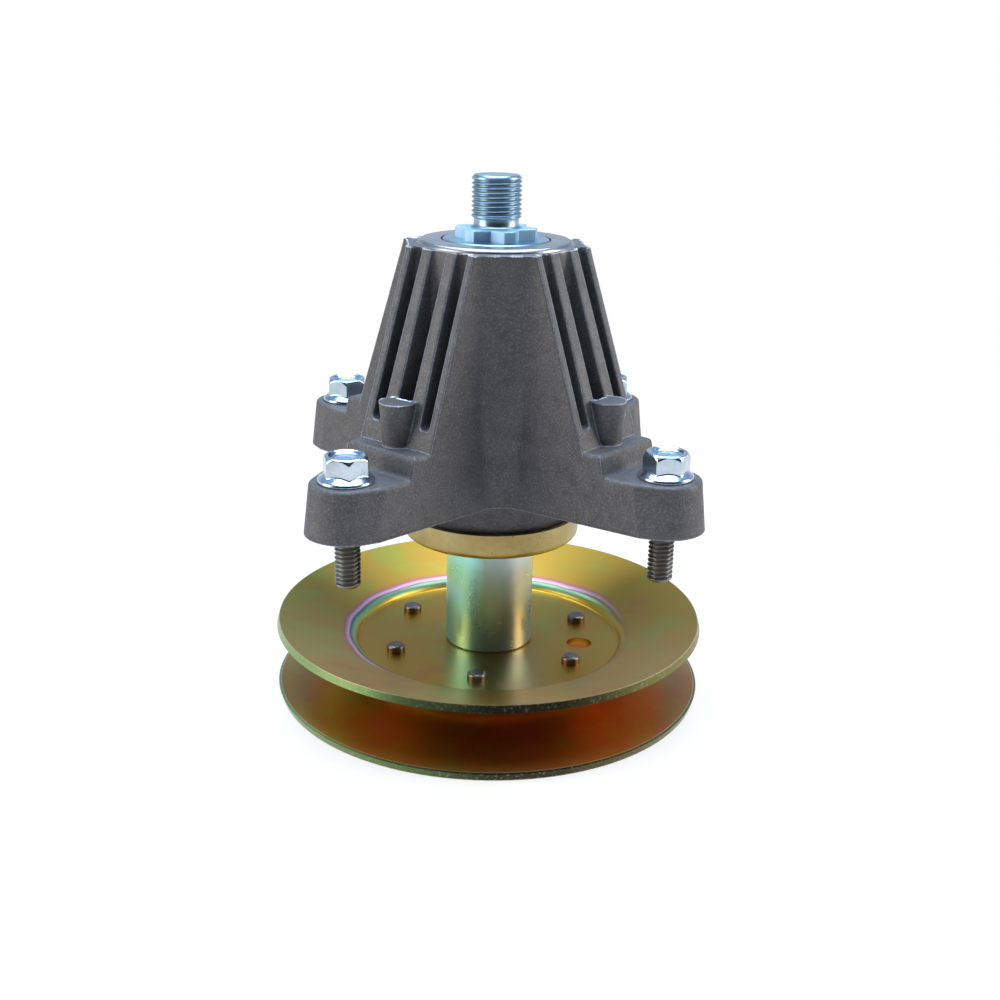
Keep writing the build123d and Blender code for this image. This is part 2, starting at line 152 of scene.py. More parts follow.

# %% [markdown]
# ## Die-cast aluminium
#
# The housing comes out of a steel die with a dull grey skin. The die's face leaves a fine grain of
# some tenths of a millimetre, and the skin is mottled where the metal chilled at different speeds.
# Tumbling rubs the edges bright, and their pale band is also a painted highlight where rounded
# edges catch the light. The skin could be a picture wrapped round the casting, but layers of noise
# on its own coordinates need no unwrapping. Blender's noise has about one lump per unit, so its
# scale is 1 over the size of a lump.
#
# The solid's edges are sharp and a casting's are not, so a Bevel node rounds the shading there. A
# second one finds the edges: its normal differs from the plain one only near them.

# %% Die-cast aluminium
CAST_ROUNDING = 1.9 * MM
EDGE_BAND_WIDTH = 0.8 * MM
EDGE_BAND_START, EDGE_BAND_FULL = 0.02, 0.2


def worn_and_highlit_edge_mask(add):
    """1 less the dot product of the rounded and the plain normal, spread over 0 to 1. This band is worn metal
    and also a painted highlight.
    """
    rounded = add("Bevel", {"Radius": EDGE_BAND_WIDTH}, samples=6)[0]
    plain = add("NewGeometry")["Normal"]
    same = add("VectorMath", {0: rounded, 1: plain}, operation="DOT_PRODUCT")["Value"]
    turned = add("Math", {0: 1.0, 1: same}, operation="SUBTRACT")[0]
    return add("MapRange", {"Value": turned, "From Min": EDGE_BAND_START, "From Max": EDGE_BAND_FULL})[0]


def die_cast_aluminium():
    """Dull grey skin with a soft mottle, pale grains and dark pits, and brighter edges that are partly rubbed
    and partly a painted highlight.
    """
    material, add = new_material("die_cast_aluminium")
    place = add("TexCoord")["Object"]
    patches, mottle, grain, pits = (
        add("TexNoise", {"Vector": place, "Scale": 1 / (lump * MM), "Detail": detail, "Roughness": rough})[0]
        for lump, detail, rough in ((22, 3, 0.6), (4.5, 3, 0.65), (0.55, 2, 0.6), (0.8, 2, 0.7)))
    body = add("ValToRGB", {0: patches}, [(0.3, "#4f4a46"), (0.7, "#595551")])[0]
    worn = add("ValToRGB", {0: mottle}, [(0.35, "#4b4745"), (0.65, "#5f5b58")])[0]
    grains = add("ValToRGB", {0: grain}, [(0.5, 0.0), (0.68, 0.3)])[0]
    broken = add("ValToRGB", {0: grain}, [(0.35, 0.35), (0.6, 1.0)])[0]
    worn_and_highlit_edges = add("Math", {0: worn_and_highlit_edge_mask(add), 1: broken}, operation="MULTIPLY")[0]
    pitted = add("ValToRGB", {0: pits}, [(0.28, 0.5), (0.36, 0.0)])[0]
    # The pale edge colour is partly real wear and partly a painted highlight.
    for share, over in ((0.4, worn), (grains, "#8f949b"), (worn_and_highlit_edges, "#a9afb8"), (pitted, "#2f2d2c")):
        body = add("Mix", {0: share, 6: body, 7: over}, data_type="RGBA")[2]
    rough = add("ValToRGB", {0: mottle}, [(0.3, 0.6), (0.7, 0.5)])[0]
    rounded = add("Bevel", {"Radius": CAST_ROUNDING}, samples=8)[0]
    end_as_metal(add, body, 0.35, rough,
                 {"Height": grain, "Strength": 0.8, "Distance": 0.12 * MM, "Normal": rounded})
    return material


CAST = die_cast_aluminium()
print("nodes in the cast skin:", len(CAST.node_tree.nodes))

# %% [markdown]
# ## Zinc plate and plain steel
#
# Zinc plating is a silvery blue, and its thin clear chromate film gives faint rainbow stains. Steel
# without it is warmer and duller. One function makes them all: two close tones in clouds, a share
# of the film, and a grain too fine to see that spreads the reflections. The forged star and the
# torn flash are rougher and less like a mirror, which a lower metallic value stands for.

# %% Zinc plate and plain steel
FILM_TINTS = [(0.4, "#9fb7b0"), (0.5, "#b9bfc6"), (0.62, "#c3afb4")]


def satin_metal(name, dark, light, roughness, film=0.0, metallic=1.0):
    """Metal between two tones, with a share of rainbow film and a satin grain that moves its
    roughness by a fifth down and a quarter up."""
    material, add = new_material(name)
    place = add("TexCoord")["Object"]
    cloud, drift, fine = (
        add("TexNoise", {"Vector": place, "Scale": 1 / (lump * MM), "Detail": detail, "Roughness": rough})[0]
        for lump, detail, rough in ((9, 3, 0.6), (14, 2, 0.5), (0.35, 2, 0.6)))
    tone = add("ValToRGB", {0: cloud}, [(0.35, dark), (0.65, light)])[0]
    tints = add("ValToRGB", {0: drift}, FILM_TINTS)[0]
    colour = add("Mix", {0: film, 6: tone, 7: tints}, data_type="RGBA")[2]
    rough = add("MapRange", {"Value": fine, "To Min": roughness * 0.8, "To Max": roughness * 1.25})[0]
    end_as_metal(add, colour, metallic, rough,
                 {"Height": fine, "Strength": 0.25, "Distance": 0.03 * MM})
    return material


# Zinc on turned steel: cool and bluish, with long soft reflections.
ZINC = satin_metal("blue_zinc_plate", "#7f9cae", "#98b0bf", 0.3, film=0.1)
# Zinc on forged steel: flatter and paler, because the forged skin scatters the light.
STAR_ZINC = satin_metal("forged_zinc_plate", "#7ea9c6", "#98bdd4", 0.5, film=0.1, metallic=0.7)
# Zinc on cold-headed bolts: the brightest metal here, nearly white beside the casting.
BOLT_ZINC = satin_metal("bright_zinc_plate", "#a9bccd", "#cddae6", 0.2, film=0.1)
# Pressed steel of the shield ring: smooth, warmer than zinc.
RING_STEEL = satin_metal("smooth_pressed_steel", "#94908d", "#aaa6a3", 0.3)
# Rivet steel: brown-grey and dull, so the rivets stand out from the yellow web.
PIN_STEEL = satin_metal("dull_pin_steel", "#6f6257", "#85786c", 0.36)
# Steel of the rolled bolt threads: plating wears off their crests, which leaves them grey.
THREAD_STEEL = satin_metal("dull_thread_steel", "#77756f", "#8b8983", 0.34)
# Torn aluminium: pale broken lines along the casting's edges, partly bright metal and partly a painted
# highlight.
FLASH = satin_metal("torn_flash_and_painted_glint", "#8f959d", "#d9dfe8", 0.34, metallic=0.6)
# Ground steel of the bearings: clean and neutral.
BEARING_STEEL = satin_metal("ground_bearing_steel", "#a9a9ab", "#bcbcbe", 0.2)
print("metals so far:", len(bpy.data.materials))

# %% [markdown]
# ## The sleeve's film and painted sheen
#
# The sleeve is turned tube with a thicker clear chromate. Its film is greenish towards one side and
# pinkish towards the other, and both sides are brighter than the middle: a painted highlight on
# each side. It is darker towards the foot: painted shade, where the dark pulley is mirrored. The
# sleeve is round and upright, so its X and Z coordinates are enough to place these tints.

# %% The sleeve's film and painted sheen
SLEEVE_REACH = 15
SLEEVE_SHADE_LOW, SLEEVE_SHADE_HIGH = 20, 38


def sleeve_zinc():
    """Tints across X, brighter at both ends as painted highlights, stirred by a fifth of a cloud, and painted
    shade towards the foot between two levels.
    """
    material, add = new_material("zinc_film_with_painted_sheen_and_shade")
    place = add("TexCoord")["Object"]
    x, _, z = add("SeparateXYZ", {0: place})
    cloud, fine = (
        add("TexNoise", {"Vector": place, "Scale": 1 / (lump * MM), "Detail": detail, "Roughness": 0.6})[0]
        for lump, detail in ((9, 3), (0.35, 2)))
    across = add("MapRange", {"Value": x, "From Min": -SLEEVE_REACH * MM, "From Max": SLEEVE_REACH * MM})[0]
    stirred = add("Math", {0: cloud, 1: 0.2, 2: across}, operation="MULTIPLY_ADD")[0]
    # Bright towards both ends of X and duller between: painted highlights on the film's tint.
    tints = add("ValToRGB", {0: stirred}, [
        (0.1, "#a8ecec"), (0.35, "#aef8fa"), (0.5, "#a3bcba"), (0.7, "#a4bac0"), (0.9, "#d6e0f2"),
        (1.0, "#d0e8f8")])[0]
    # Darker towards the foot: painted shade where the dark pulley is mirrored.
    foot_shade = add("MapRange", {"Value": z, "From Min": SLEEVE_SHADE_HIGH * MM,
                            "From Max": SLEEVE_SHADE_LOW * MM, "To Max": 0.4})[0]
    colour = add("Mix", {0: foot_shade, 6: tints, 7: "#80a8a4"}, data_type="RGBA")[2]
    rough = add("MapRange", {"Value": cloud, "To Min": 0.22, "To Max": 0.36})[0]
    end_as_metal(add, colour, 0.85, rough, {"Height": fine, "Strength": 0.12, "Distance": 0.02 * MM})
    return material


SLEEVE_ZINC = sleeve_zinc()
print("nodes in the sleeve's film:", len(SLEEVE_ZINC.node_tree.nodes))

# %% [markdown]
# ## Yellow chromate on the pulley
#
# The pulley's two discs are pressed sheet with a yellow chromate. That film goes through gold,
# olive, green and magenta as its thickness changes, so the sheet is tinted across from side to side
# and clouded by drips. The rainbow bands at the bend are painted highlights, with a dark line of
# painted shade, strongest on the far side, and a green patch in front of the sleeve is a painted
# reflection of it. Its rim was sheared after rolling: a dark cut edge, with a pale line that is
# partly the burr and partly a painted highlight. Everything is placed by the distance from the axis
# and by X and Y, so the pattern turns with the pulley. The lower disc drained longer and is redder.

# %% Yellow chromate
BAND_WAVER = 4 * MM


def yellow_chromate(name, web, stains, tints):
    """Layers over the plain gold: the tint across the disc, a green patch in front of the sleeve that
    is a painted reflection of it, drip stains, the rainbow bands at the bend that are painted
    highlights and shade towards the far side, the sheared edge, and a pale line on the rim's edge
    that is partly its burr and partly a painted highlight.

    The share of the way out is 0 at 14 mm from the axis and 1 at 74 mm, and it wavers with a slow
    noise so that no band is a perfect circle."""
    material, add = new_material(name)
    place = add("TexCoord")["Object"]
    x, y, _ = add("SeparateXYZ", {0: place})
    drift, cloud, specks, fine = (
        add("TexNoise", {"Vector": place, "Scale": 1 / (lump * MM), "Detail": detail, "Roughness": rough})[0]
        for lump, detail, rough in ((30, 2, 0.5), (16, 3, 0.55), (0.9, 3, 0.7), (0.4, 2, 0.6)))
    plan = add("CombineXYZ", {"X": x, "Y": y})[0]
    radius = add("VectorMath", {0: plan}, operation="LENGTH")["Value"]
    waver = add("Math", {0: drift, 1: BAND_WAVER, 2: -BAND_WAVER / 2}, operation="MULTIPLY_ADD")[0]
    wavering = add("Math", {0: radius, 1: waver}, operation="ADD")[0]
    slanted = add("Math", {0: x, 1: -0.6, 2: y}, operation="MULTIPLY_ADD")[0]
    outward, across, along, frontward, sheared, rim = (
        add("MapRange", {"Value": value, "From Min": low * MM, "From Max": high * MM})[0]
        for value, low, high in ((wavering, 14, 74), (x, -72, 72), (slanted, -30, 10), (y, -8, -20),
                                 (radius, 71.95, 72.1), (radius, 71.5, 72.2)))

    colour = add("ValToRGB", {0: outward}, [
        (0.55, web), (0.57, "#7c6430"), (0.6, "#a9873a"), (1.0, "#a28836")])[0]
    tint = add("ValToRGB", {0: across}, tints)[0]
    stain = add("ValToRGB", {0: cloud}, stains)[0]

    # A green patch in front of the sleeve: a painted reflection of the sleeve.
    sleeve_reflection = frontward
    for value, stops in ((across, [(0.36, 0.0), (0.42, 1.0), (0.56, 1.0), (0.63, 0.0)]),
                         (outward, [(0.5, 0.65), (0.56, 0.0)])):
        part = add("ValToRGB", {0: value}, stops)[0]
        sleeve_reflection = add("Math", {0: sleeve_reflection, 1: part}, operation="MULTIPLY")[0]

    # Rainbow bands at the bend, strongest on the far side: painted highlights, with a dark line of painted
    # shade.
    bend_highlight_colours = add("ValToRGB", {0: outward}, [
        (0.515, web), (0.53, "#b5b452"), (0.545, "#6fc0a0"), (0.562, "#3f4a38"), (0.576, "#f0b8d8"),
        (0.598, "#b8606a"), (0.625, "#c08238")])[0]
    bend = add("ValToRGB", {0: outward}, [(0.515, 0.0), (0.53, 0.8), (0.6, 0.8), (0.64, 0.0)])[0]
    bend_highlight = add("Math", {0: bend, 1: along}, operation="MULTIPLY")[0]

    cut = add("ValToRGB", {0: across}, [
        (0.0, "#8ea56a"), (0.25, "#647b4c"), (0.45, "#33372d"), (0.6, "#3a382a"), (0.85, "#6d6a3a"),
        (1.0, "#8a7a44")])[0]
    flecks = add("ValToRGB", {0: specks}, [(0.54, 0.0), (0.72, 0.6)])[0]
    cut = add("Mix", {0: flecks, 6: cut, 7: "#a9ad90"}, data_type="RGBA")[2]
    # A pale line on the rim's edge: partly the burr, partly a painted highlight.
    burr_and_rim_highlight = add("ValToRGB", {0: rim}, [(0.3, 0.0), (0.5, 0.6), (0.7, 0.6), (0.8, 0.0)])[0]

    for share, over in ((0.4, tint), (sleeve_reflection, "#6fa086"), (0.4, stain), (bend_highlight, bend_highlight_colours), (sheared, cut),
                        (burr_and_rim_highlight, "#c9c6a8")):
        colour = add("Mix", {0: share, 6: colour, 7: over}, data_type="RGBA")[2]
    rough = add("MapRange", {"Value": cloud, "To Min": 0.3, "To Max": 0.42})[0]
    end_as_metal(add, colour, 1.0, rough, {"Height": fine, "Strength": 0.2, "Distance": 0.03 * MM})
    return material


# Golden disc, greener where the film is thin.
PULLEY_FINISH = yellow_chromate(
    "yellow_chromate_on_sheet", "#c08c28",
    stains=[(0.3, "#97a446"), (0.45, "#b48c34"), (0.6, "#c0822c"), (0.72, "#b86848")],
    tints=[(0.0, "#a88f40"), (0.3, "#bb8b2e"), (0.7, "#b98a2a"), (1.0, "#a4802a")])
# The same film where it is thicker: orange and red, with a little green left.
LOWER_FINISH = yellow_chromate(
    "red_chromate_on_sheet", "#a87038",
    stains=[(0.3, "#7c9a48"), (0.42, "#a07a38"), (0.55, "#a8552f"), (0.68, "#b2485c")],
    tints=[(0.0, "#9a8a38"), (0.3, "#a87234"), (0.55, "#a04c34"), (0.8, "#d8604c"), (1.0, "#c87258")])
print("nodes in the chromate:", len(PULLEY_FINISH.node_tree.nodes))

# %% [markdown]
# ## The dust cup
#
# The cup is drawn from thin sheet and has a thin, even yellow chromate: a satin brass colour,
# yellow-green below the bend at its foot, with a few dark specks of dirt.

# %% The dust cup
CUP_BEND_HIGH, CUP_BEND_LOW = 56.3, 55.0


def satin_brass_zinc():
    """Three close brass tones in clouds, greener below the bend, with dark specks."""
    material, add = new_material("satin_yellow_zinc")
    place = add("TexCoord")["Object"]
    cloud, fine, specks = (
        add("TexNoise", {"Vector": place, "Scale": 1 / (lump * MM), "Detail": detail, "Roughness": rough})[0]
        for lump, detail, rough in ((12, 3, 0.6), (0.5, 2, 0.6), (1.3, 2, 0.7)))
    colour = add("ValToRGB", {0: cloud}, [(0.3, "#9c8a5a"), (0.5, "#ad9b69"), (0.7, "#b8a97f")])[0]
    height = add("SeparateXYZ", {0: place})[2]
    bend = add("MapRange", {"Value": height, "From Min": CUP_BEND_HIGH * MM,
                            "From Max": CUP_BEND_LOW * MM, "To Max": 0.7})[0]
    dirt = add("ValToRGB", {0: specks}, [(0.27, 0.6), (0.33, 0.0)])[0]
    for share, over in ((bend, "#9aa653"), (dirt, "#4a4434")):
        colour = add("Mix", {0: share, 6: colour, 7: over}, data_type="RGBA")[2]
    rough = add("MapRange", {"Value": fine, "To Min": 0.32, "To Max": 0.45})[0]
    end_as_metal(add, colour, 1.0, rough, {"Height": fine, "Strength": 0.25, "Distance": 0.03 * MM})
    return material


CUP_FINISH = satin_brass_zinc()
print("nodes in the cup's film:", len(CUP_FINISH.node_tree.nodes))

# %% [markdown]
# ## Finishes for the solids
#
# Each solid of the frame gets the finish of the real piece. What isn't named here is a part of a
# ball bearing.

# %% Finishes for the solids
FINISHES = {
    "housing": CAST,
    "pulley_upper_disc": PULLEY_FINISH,
    "pulley_lower_disc": LOWER_FINISH,
    "dust_cup": CUP_FINISH,
    "spacer_sleeve": SLEEVE_ZINC,
    "mounting_bolts": BOLT_ZINC,
    "pulley_nut": BOLT_ZINC,
    "shaft": ZINC,
    "blade_shield_ring": RING_STEEL,
    "pulley_rivets": PIN_STEEL,
}
for name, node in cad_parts.items():
    for slot in node.material_slots:
        slot.material = FINISHES.get(name, BEARING_STEEL)
print("materials:", len(bpy.data.materials), "nodes dressed:", len(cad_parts))

# %% [markdown]
# ## Round surfaces as grids
#
# A thread is rolled or cut as one helical groove, so it is drawn as one surface too: a tube whose
# radius dips by a blunt V wherever the helix passes. A cold-forged bolt head has no sharp edge
# either. Both are rings of points round an axis, so one function turns a grid of radii and levels
# into a closed skin. All points are worked out as whole arrays.


# %% Rings of points and their faces
def ring_faces(rows, cols):
    """Quads between rings, then a flat face over the first and the last ring. Point j of ring i
    has the number i cols + j, and the last point of a ring joins its first."""
    row, col = np.meshgrid(np.arange(rows - 1), np.arange(cols), indexing="ij")
    after = (col + 1) % cols
    around = np.stack([row * cols + col, row * cols + after, (row + 1) * cols + after,
                       (row + 1) * cols + col], axis=-1).reshape(-1, 4)
    ends = [np.arange(cols)[::-1].tolist(), (np.arange(cols) + (rows - 1) * cols).tolist()]
    return around.tolist() + ends


def tube_shell(radius, level, middle=(0.0, 0.0)):
    """Closed skin through rings given by arrays of radius and level in mm, rows by columns.
    Column j stands at the angle a = 2 pi j / columns, so a point is (r cos a + x, r sin a + y, z)."""
    rows, cols = radius.shape
    angle = np.arange(cols) * 2 * np.pi / cols
    points = np.stack([radius * np.cos(angle) + middle[0], radius * np.sin(angle) + middle[1],
                       level], axis=-1).reshape(-1, 3) * MM
    return points, ring_faces(rows, cols)


def rings(profile, cols):
    """Plain rings through (radius, level) corners, as radius and level arrays."""
    corners = np.array(profile)[:, :, None] * np.ones(cols)
    return corners[:, 0], corners[:, 1]


def stacked(*parts):
    """Radius and level arrays of several runs of rings, one on top of the other."""
    return np.vstack([part[0] for part in parts]), np.vstack([part[1] for part in parts])


points, faces = tube_shell(*rings([(1, 0), (1, 1)], 6))
print("a six-sided tube has", len(points), "points and", len(faces), "faces")

# %% [markdown]
# ## From shells to a piece
#
# A piece is one mesh of several closed shells. It is shaded smooth, and its edges are marked sharp
# past an angle. On a thread that angle would catch some edges of the flanks and miss others, and
# make the thread look wavy, so a threaded stretch loses its marks again. The material slot can be
# split, so that one piece shows two finishes.


# %% Pieces
def make_piece(name, shells, material, body, sharp_degrees=40):
    """A mesh of several closed shells, shaded smooth up to an angle, riding on a body."""
    points, faces, start = [], [], 0
    for some, corners in shells:
        faces += [[start + corner for corner in face] for face in corners]
        points.append(some)
        start += len(some)
    mesh = bpy.data.meshes.new(name)
    mesh.from_pydata(np.concatenate(points).tolist(), [], faces)
    mesh.shade_smooth()
    mesh.set_sharp_from_angle(angle=math.radians(sharp_degrees))
    mesh.materials.append(material)
    made = bpy.data.objects.new(name, mesh)
    bpy.context.scene.collection.objects.link(made)
    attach(made, body)
    return made


def smooth_between(made, low, high):
    """Takes the sharp mark off each edge that has both ends between two levels in mm."""
    mesh = made.data
    points = np.empty(len(mesh.vertices) * 3)
    mesh.vertices.foreach_get("co", points)
    ends = np.empty(len(mesh.edges) * 2, dtype=np.int32)
    mesh.edges.foreach_get("vertices", ends)
    level = points[2::3][ends.reshape(-1, 2)] / MM
    marks = mesh.attributes["sharp_edge"].data
    sharp = np.empty(len(mesh.edges), dtype=bool)
    marks.foreach_get("value", sharp)
    sharp[((level > low) & (level < high)).all(axis=1)] = False
    marks.foreach_set("value", sharp)


def second_finish(made, first_faces, material):
    """Gives every face after the first ones a second material."""
    made.data.materials.append(material)
    slots = np.arange(len(made.data.polygons)) >= first_faces
    made.data.polygons.foreach_set("material_index", slots.astype(np.int32))


# %% [markdown]
# ## Threads
#
# The blade's thread and the bolts' threads both have 18 turns to the inch. Twenty rings a turn
# show the blunt V. The groove fades in and out, as it does where a die starts and stops.

# %% Thread surface
PITCH = 1.411
THREAD_DEPTH = 0.8
THREAD_BLUNT = 0.15
RINGS_PER_TURN = 20


def thread_rings(radius, low, high, cols, fade):
    """Rings of a right-hand thread from low to high.

    The point at level z and angle a is z / pitch - a / 2 pi turns up the helix. Its share of the
    depth is a V over one turn with a blunt crest and root, times a fade at both ends."""
    rows = int((high - low) / PITCH * RINGS_PER_TURN)
    level = np.linspace(low, high, rows)[:, None] * np.ones(cols)
    turns = level / PITCH - np.arange(cols) / cols
    groove = 1 - np.abs(2 * (turns % 1) - 1)
    dip = np.clip((1 + 2 * THREAD_BLUNT) * groove - THREAD_BLUNT, 0, 1)
    inside = np.clip(np.minimum(level - low, high - level) / fade, 0, 1)
    return radius - THREAD_DEPTH * dip * inside, level


print("turns to the inch:", round(25.4 / PITCH, 2))

# %% [markdown]
# ## The shaft
#
# Turned from bar: thread, neck and shoulder on one centre line, the journal inside the housing,
# two flats for the pulley, and the thread for the pulley's nut. All of it is one tube of rings,
# from the lower end to the top. Sizes are in mm.

# %% The turned shaft
SHAFT_LOW, SHAFT_TOP = (corner[2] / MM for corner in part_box("shaft"))
BLADE_THREAD = 15.875 / 2
BLADE_THREAD_RUN = 12.8
NECK = 14.3 / 2
NECK_RUN = 3.4
NECK_FILLET = ((1.5, -0.2), (0.75, 0.15), (0.25, 0.55), (0.0, 1.2))  # out from the neck, up from the star
NECK_END = 0.6
STAR_HEIGHT = 3.5
SHOULDER, SHOULDER_HEIGHT, SHOULDER_LIFT = 17.0, 3.2, 0.5
SHOULDER_FOOT = 12.9
SHOULDER_BREAK, SHOULDER_ROUND = 0.15, 0.3
JOURNAL, DRIVE, DRIVE_FLAT = 9.98, 9.4, 8.1
DRIVE_LOW, DRIVE_HIGH = 10.65, 16.05
CHAMFER = 0.9
SHAFT_COLS = 144
NUT_THREAD_FADE, BLADE_THREAD_FADE = 0.6, 0.5

THREAD_START = SHAFT_TOP - BLADE_THREAD_RUN
STAR_TOP = THREAD_START - NECK_RUN
SHOULDER_TOP = STAR_TOP - STAR_HEIGHT
SHOULDER_LOW = SHOULDER_TOP - SHOULDER_HEIGHT


def shaft_shell():
    """The turned body. The drive's radius is the smaller of its circle and its two flats, which
    stand at their distance over |sin a|."""
    cols = SHAFT_COLS
    angle = np.arange(cols) * 2 * np.pi / cols
    flats = np.minimum(DRIVE, DRIVE_FLAT / np.maximum(np.abs(np.sin(angle)), 0.01))
    drive = np.tile(flats, (2, 1)), rings([(0, DRIVE_LOW), (0, DRIVE_HIGH)], cols)[1]
    fillet = [(NECK + out, STAR_TOP + up) for out, up in NECK_FILLET]
    return tube_shell(*stacked(
        rings([(BLADE_THREAD - CHAMFER, SHAFT_LOW)], cols),
        thread_rings(BLADE_THREAD, SHAFT_LOW + CHAMFER, DRIVE_LOW, cols, NUT_THREAD_FADE),
        drive,
        rings([(JOURNAL, DRIVE_HIGH), (JOURNAL, SHOULDER_LOW - SHOULDER_LIFT),
               (SHOULDER_FOOT, SHOULDER_LOW - SHOULDER_LIFT), (SHOULDER_FOOT, SHOULDER_LOW),
               (SHOULDER - SHOULDER_BREAK, SHOULDER_LOW), (SHOULDER, SHOULDER_LOW + SHOULDER_BREAK),
               (SHOULDER, SHOULDER_TOP - SHOULDER_ROUND), (SHOULDER - SHOULDER_ROUND, SHOULDER_TOP),
               (fillet[0][0], SHOULDER_TOP), *fillet, (NECK, THREAD_START - NECK_END)], cols),
        thread_rings(BLADE_THREAD, THREAD_START, SHAFT_TOP - CHAMFER, cols, BLADE_THREAD_FADE),
        rings([(BLADE_THREAD - CHAMFER, SHAFT_TOP)], cols)))


turned = shaft_shell()
print("shaft from", round(SHAFT_LOW, 2), "to", round(SHAFT_TOP, 2), "mm, faces:", len(turned[1]))

# %% [markdown]
# ## The star on the shaft
#
# The six blunt points that drive the blade are forged on the shoulder, so their top edge is a
# little ragged and rounded. The star is four rings of one outline, each smaller than the last.

# %% The star
STAR_RADIUS, STAR_VALLEY, STAR_TIP = 13.0, 9.4, 3.8
STAR_PHASE = 44.0
STAR_SINK = 0.1
STAR_STEPS = 8
RAGGED = 0.05
STAR_RINGS = ((0.0, SHOULDER_TOP - STAR_SINK, 0.0), (0.0, STAR_TOP - 0.45, 0.3),
              (0.12, STAR_TOP - 0.14, 1.0), (0.4, STAR_TOP, 1.0))  # inset, level, share of the raggedness


def star_shell():
    """Tips and valleys joined by straight flanks. A ring is the outline times 1 less its inset
    and raggedness over the star's radius. The raggedness is two sines along the outline."""
    spread = math.degrees(math.asin(STAR_TIP / 2 / STAR_RADIUS))
    corners = []
    for i in range(6):
        tip = STAR_PHASE + 60 * i
        corners += [(STAR_RADIUS, tip - spread), (STAR_RADIUS, tip + spread), (STAR_VALLEY, tip + 30)]
    corners = np.array([(r * math.cos(math.radians(a)), r * math.sin(math.radians(a)))
                        for r, a in corners])
    share = np.linspace(0, 1, STAR_STEPS, endpoint=False)[None, :, None]
    outline = (corners[:, None] * (1 - share) + np.roll(corners, -1, axis=0)[:, None] * share)
    outline = outline.reshape(-1, 2)
    along = np.arange(len(outline))
    ragged = RAGGED * np.sin(along * 1.7) + RAGGED * np.sin(along * 4.3 + 1)
    loops = []
    for inset, level, rough in STAR_RINGS:
        size = 1 - (inset + rough * ragged)[:, None] / STAR_RADIUS
        loops.append(np.column_stack([outline * size, np.full(len(outline), level)]))
    return np.vstack(loops) * MM, ring_faces(len(loops), len(outline))


shaft = make_piece("threaded_shaft", [turned, star_shell()], ZINC, "rotor")
smooth_between(shaft, THREAD_START, SHAFT_TOP - CHAMFER)
second_finish(shaft, len(turned[1]), STAR_ZINC)
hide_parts("shaft")
print("shaft and star faces:", len(shaft.data.polygons))

# %% [markdown]
# ## The mounting bolts
#
# Flange bolts, cold forged and zinc plated, with a dished top inside a raised rim. No grade marks
# are put on them. Hexagon, flange cone and crown run into each other, which a soft minimum and
# maximum of three radii give. Sizes are in mm.

# %% Mounting bolts
EAR_TOP = 88.3
DECK_FACE = 72.3
BOLT_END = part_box("mounting_bolts")[0][2] / MM
BOLT_PLACES = ((48, 48, 50.0), (-48, 48, 58.0), (-48, -48, 8.0), (48, -48, 25.0))  # x, y, turn
BOLT_SHANK, BOLT_THREAD = 3.55, 3.97
BOLT_THREAD_FADE = 0.5
BOLT_THREAD_TOP, SHANK_START = DECK_FACE + 0.5, DECK_FACE + 0.6
SHANK_SINK = 0.5  # the shank runs this far into the head
HEAD_HEIGHT, HEAD_FLATS = 8.1, 12.7
HEAD_COLS, HEAD_ROWS, SHANK_COLS = 144, 44, 56
FLANGE, FLANGE_EDGE, FLANGE_CONE = 8.6, 1.1, 2.7
FLANGE_FOOT = ((-0.3, 0.0), (0.0, 0.25), (0.0, 0.75))  # out from the flange, up from the ear
FLANGE_BREAK = 0.25
CONE_SLOPE, CROWN_SLOPE = 1.25, 0.75
CROWN_SET = 0.1  # the crown starts this far inside the flats
RIM_DEPTH = 0.25  # the wall ends this far under the head's top
FLANGE_BLEND, CROWN_BLEND = 0.12, 0.14
CORNER_POWER = 50
DISH = ((6.0, -0.06), (5.75, 0.0), (5.45, -0.02), (5.15, -0.16), (4.85, -0.5), (4.5, -0.85),
        (4.0, -1.0), (2.5, -1.04))  # radius, up from the head's top


def soft_min(one, two, blend):
    """Smaller of two radii, rounded over where they cross: -b log(exp(-p / b) + exp(-q / b))."""
    return -blend * np.logaddexp(-one / blend, -two / blend)


def bolt_head_shell(x, y, turn):
    """Flange, hexagon, crown and dish. The hexagon's radius at angle a is the flats' half width
    over the power mean of the six max(cos(a - k 60), 0), which rounds its corners."""
    cols = HEAD_COLS
    angle = np.arange(cols) * 2 * np.pi / cols
    sides = np.maximum(np.cos(angle[None] - np.radians(turn + 60 * np.arange(6))[:, None]), 0)
    hexagon = HEAD_FLATS / 2 / (sides ** CORNER_POWER).sum(axis=0) ** (1 / CORNER_POWER)
    lift = np.linspace(FLANGE_EDGE, HEAD_HEIGHT - RIM_DEPTH, HEAD_ROWS)[:, None] * np.ones(cols)
    cone = HEAD_FLATS / 2 + (FLANGE_CONE - lift) * CONE_SLOPE
    crown = HEAD_FLATS / 2 - CROWN_SET + (HEAD_HEIGHT - lift) * CROWN_SLOPE
    larger = -soft_min(-hexagon * np.ones_like(lift), -cone, FLANGE_BLEND)
    wall = np.minimum(soft_min(larger, crown, CROWN_BLEND), FLANGE - FLANGE_BREAK)
    return tube_shell(*stacked(
        rings([(FLANGE + out, EAR_TOP + up) for out, up in FLANGE_FOOT], cols),
        (wall, EAR_TOP + lift),
        rings([(radius, EAR_TOP + HEAD_HEIGHT + up) for radius, up in DISH], cols)), (x, y))


